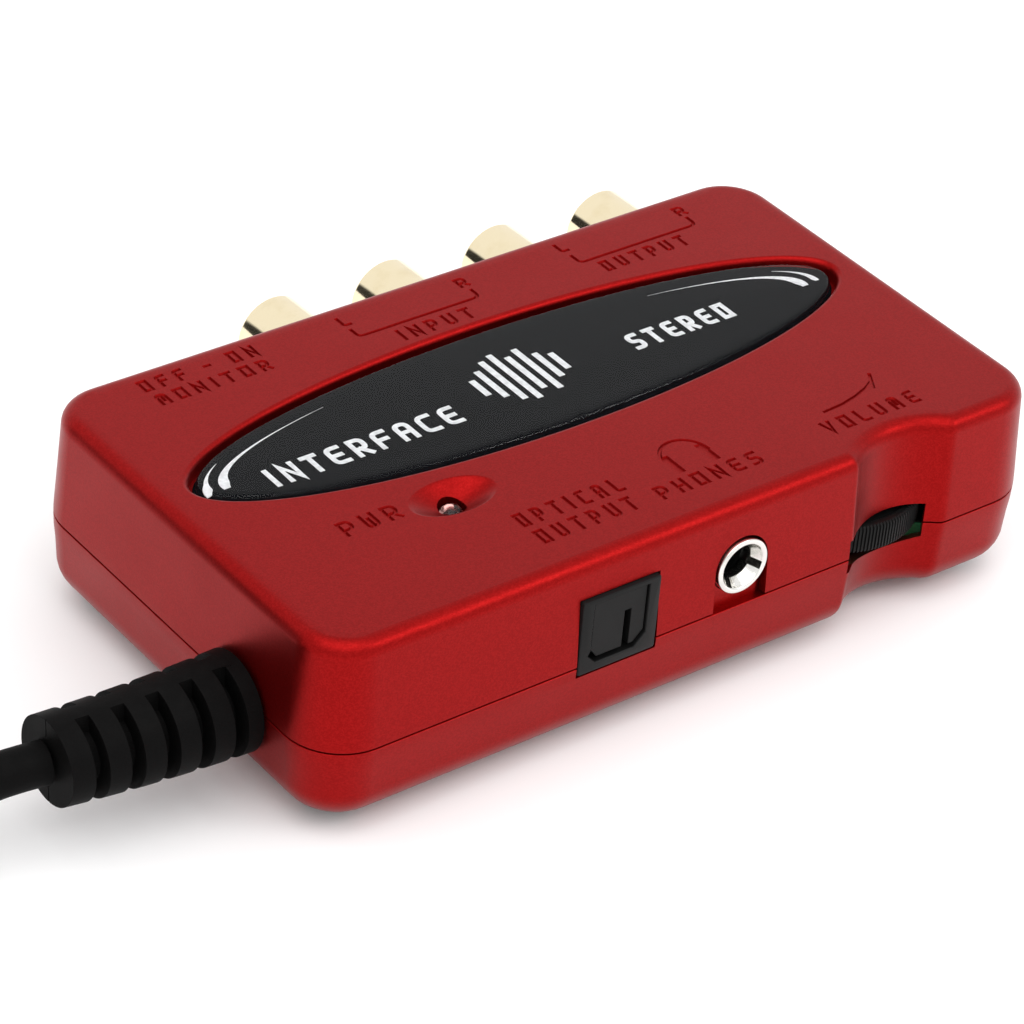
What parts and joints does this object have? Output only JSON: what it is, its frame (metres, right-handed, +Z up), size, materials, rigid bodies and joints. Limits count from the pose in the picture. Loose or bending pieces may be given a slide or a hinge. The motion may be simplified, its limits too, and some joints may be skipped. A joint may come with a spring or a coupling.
{
  "type": "audio interface",
  "caption": "Palm-sized red audio interface with an oval badge, front optical and phones sockets, volume thumbwheel, rear gold phono sockets and a captive computer lead",
  "frame": {"origin": "on the surface that the feet stand on, under the middle of the case and its rear sockets, lead left out", "axes": "+X along the case to the right seen from the front, +Y to the rear phono sockets, +Z up"},
  "size_m": [0.1904, 0.0744, 0.022],
  "materials": {
    "red_paint": "moulded plastic with satin metallic red paint",
    "black_badge": "gloss black printed plate",
    "clear_lens": "clear domed resin",
    "blue_lamp": "tinted clear lamp",
    "white_plastic": "moulded",
    "red_insulator": "moulded",
    "green_board": "glass fibre board with solder mask",
    "black_plastic": "moulded, fine texture",
    "capacitor_sleeve": "sleeved can",
    "nickel": "bright nickel plate",
    "gold": "bright gold plate",
    "steel": "zinc plated",
    "black_rubber": "matt moulded"
  },
  "bodies": {
    "case": {"badge_lens": "clear_lens", "badge_plate": "black_badge", "board_screw_1": "steel", "board_screw_2": "steel", "capacitor_1": "capacitor_sleeve", "capacitor_2": "capacitor_sleeve", "case_screw_1": "steel", "case_screw_2": "steel", "case_screw_3": "steel", "case_screw_4": "steel", "codec_chip": "black_plastic", "coil_tie": "black_rubber", "crystal": "steel", "foot_1": "black_rubber", "foot_2": "black_rubber", "foot_3": "black_rubber", "foot_4": "black_rubber", "inner_lead": "black_rubber", "input_block": "black_plastic", "input_left_barrel": "gold", "input_left_contact": "gold", "input_left_insulator": "white_plastic", "input_right_barrel": "gold", "input_right_contact": "gold", "input_right_insulator": "red_insulator", "lamp_spacer": "white_plastic", "lead": "black_rubber", "lead_coil": "black_rubber", "lead_connector": "white_plastic", "lead_end": "black_rubber", "link_chip": "black_plastic", "lower_shell": "red_paint", "main_board": "green_board", "monitor_switch_body": "steel", "optical_emitter": "black_plastic", "optical_housing": "black_plastic", "output_block": "black_plastic", "output_left_barrel": "gold", "output_left_contact": "gold", "output_left_insulator": "white_plastic", "output_right_barrel": "gold", "output_right_contact": "gold", "output_right_insulator": "red_insulator", "phones_amplifier": "black_plastic", "phones_body": "black_plastic", "phones_contact": "nickel", "phones_ring": "nickel", "plug_grip": "black_plastic", "plug_shell": "nickel", "plug_tongue": "white_plastic", "regulator": "black_plastic", "shutter_pin": "steel", "status_lamp": "blue_lamp", "strain_relief": "black_rubber", "upper_shell": "red_paint", "volume_control": "white_plastic"},
    "volume": {"volume_wheel": "black_plastic", "wheel_rivet": "steel"},
    "monitor_lever": {"monitor_switch_lever": "black_plastic"},
    "shutter": {"optical_shutter": "black_plastic"}
  },
  "joints": [
    {"name": "volume_turn", "type": "hinge", "parent": "case", "child": "volume", "pos_m": [0.0247, -0.0194, 0.0106], "axis": [0, 0, 1], "range_deg": [-140, 140]},
    {"name": "monitor_slide", "type": "slide", "parent": "case", "child": "monitor_lever", "axis": [1, 0, 0], "range_m": [0, 0.002]},
    {"name": "shutter_swing", "type": "hinge", "parent": "case", "child": "shutter", "pos_m": [-0.01025, -0.0289, 0.0161], "axis": [1, 0, 0], "range_deg": [0, 80], "stiffness_Nm_per_rad": 0.0002, "springref_deg": -17.19}
  ]
}
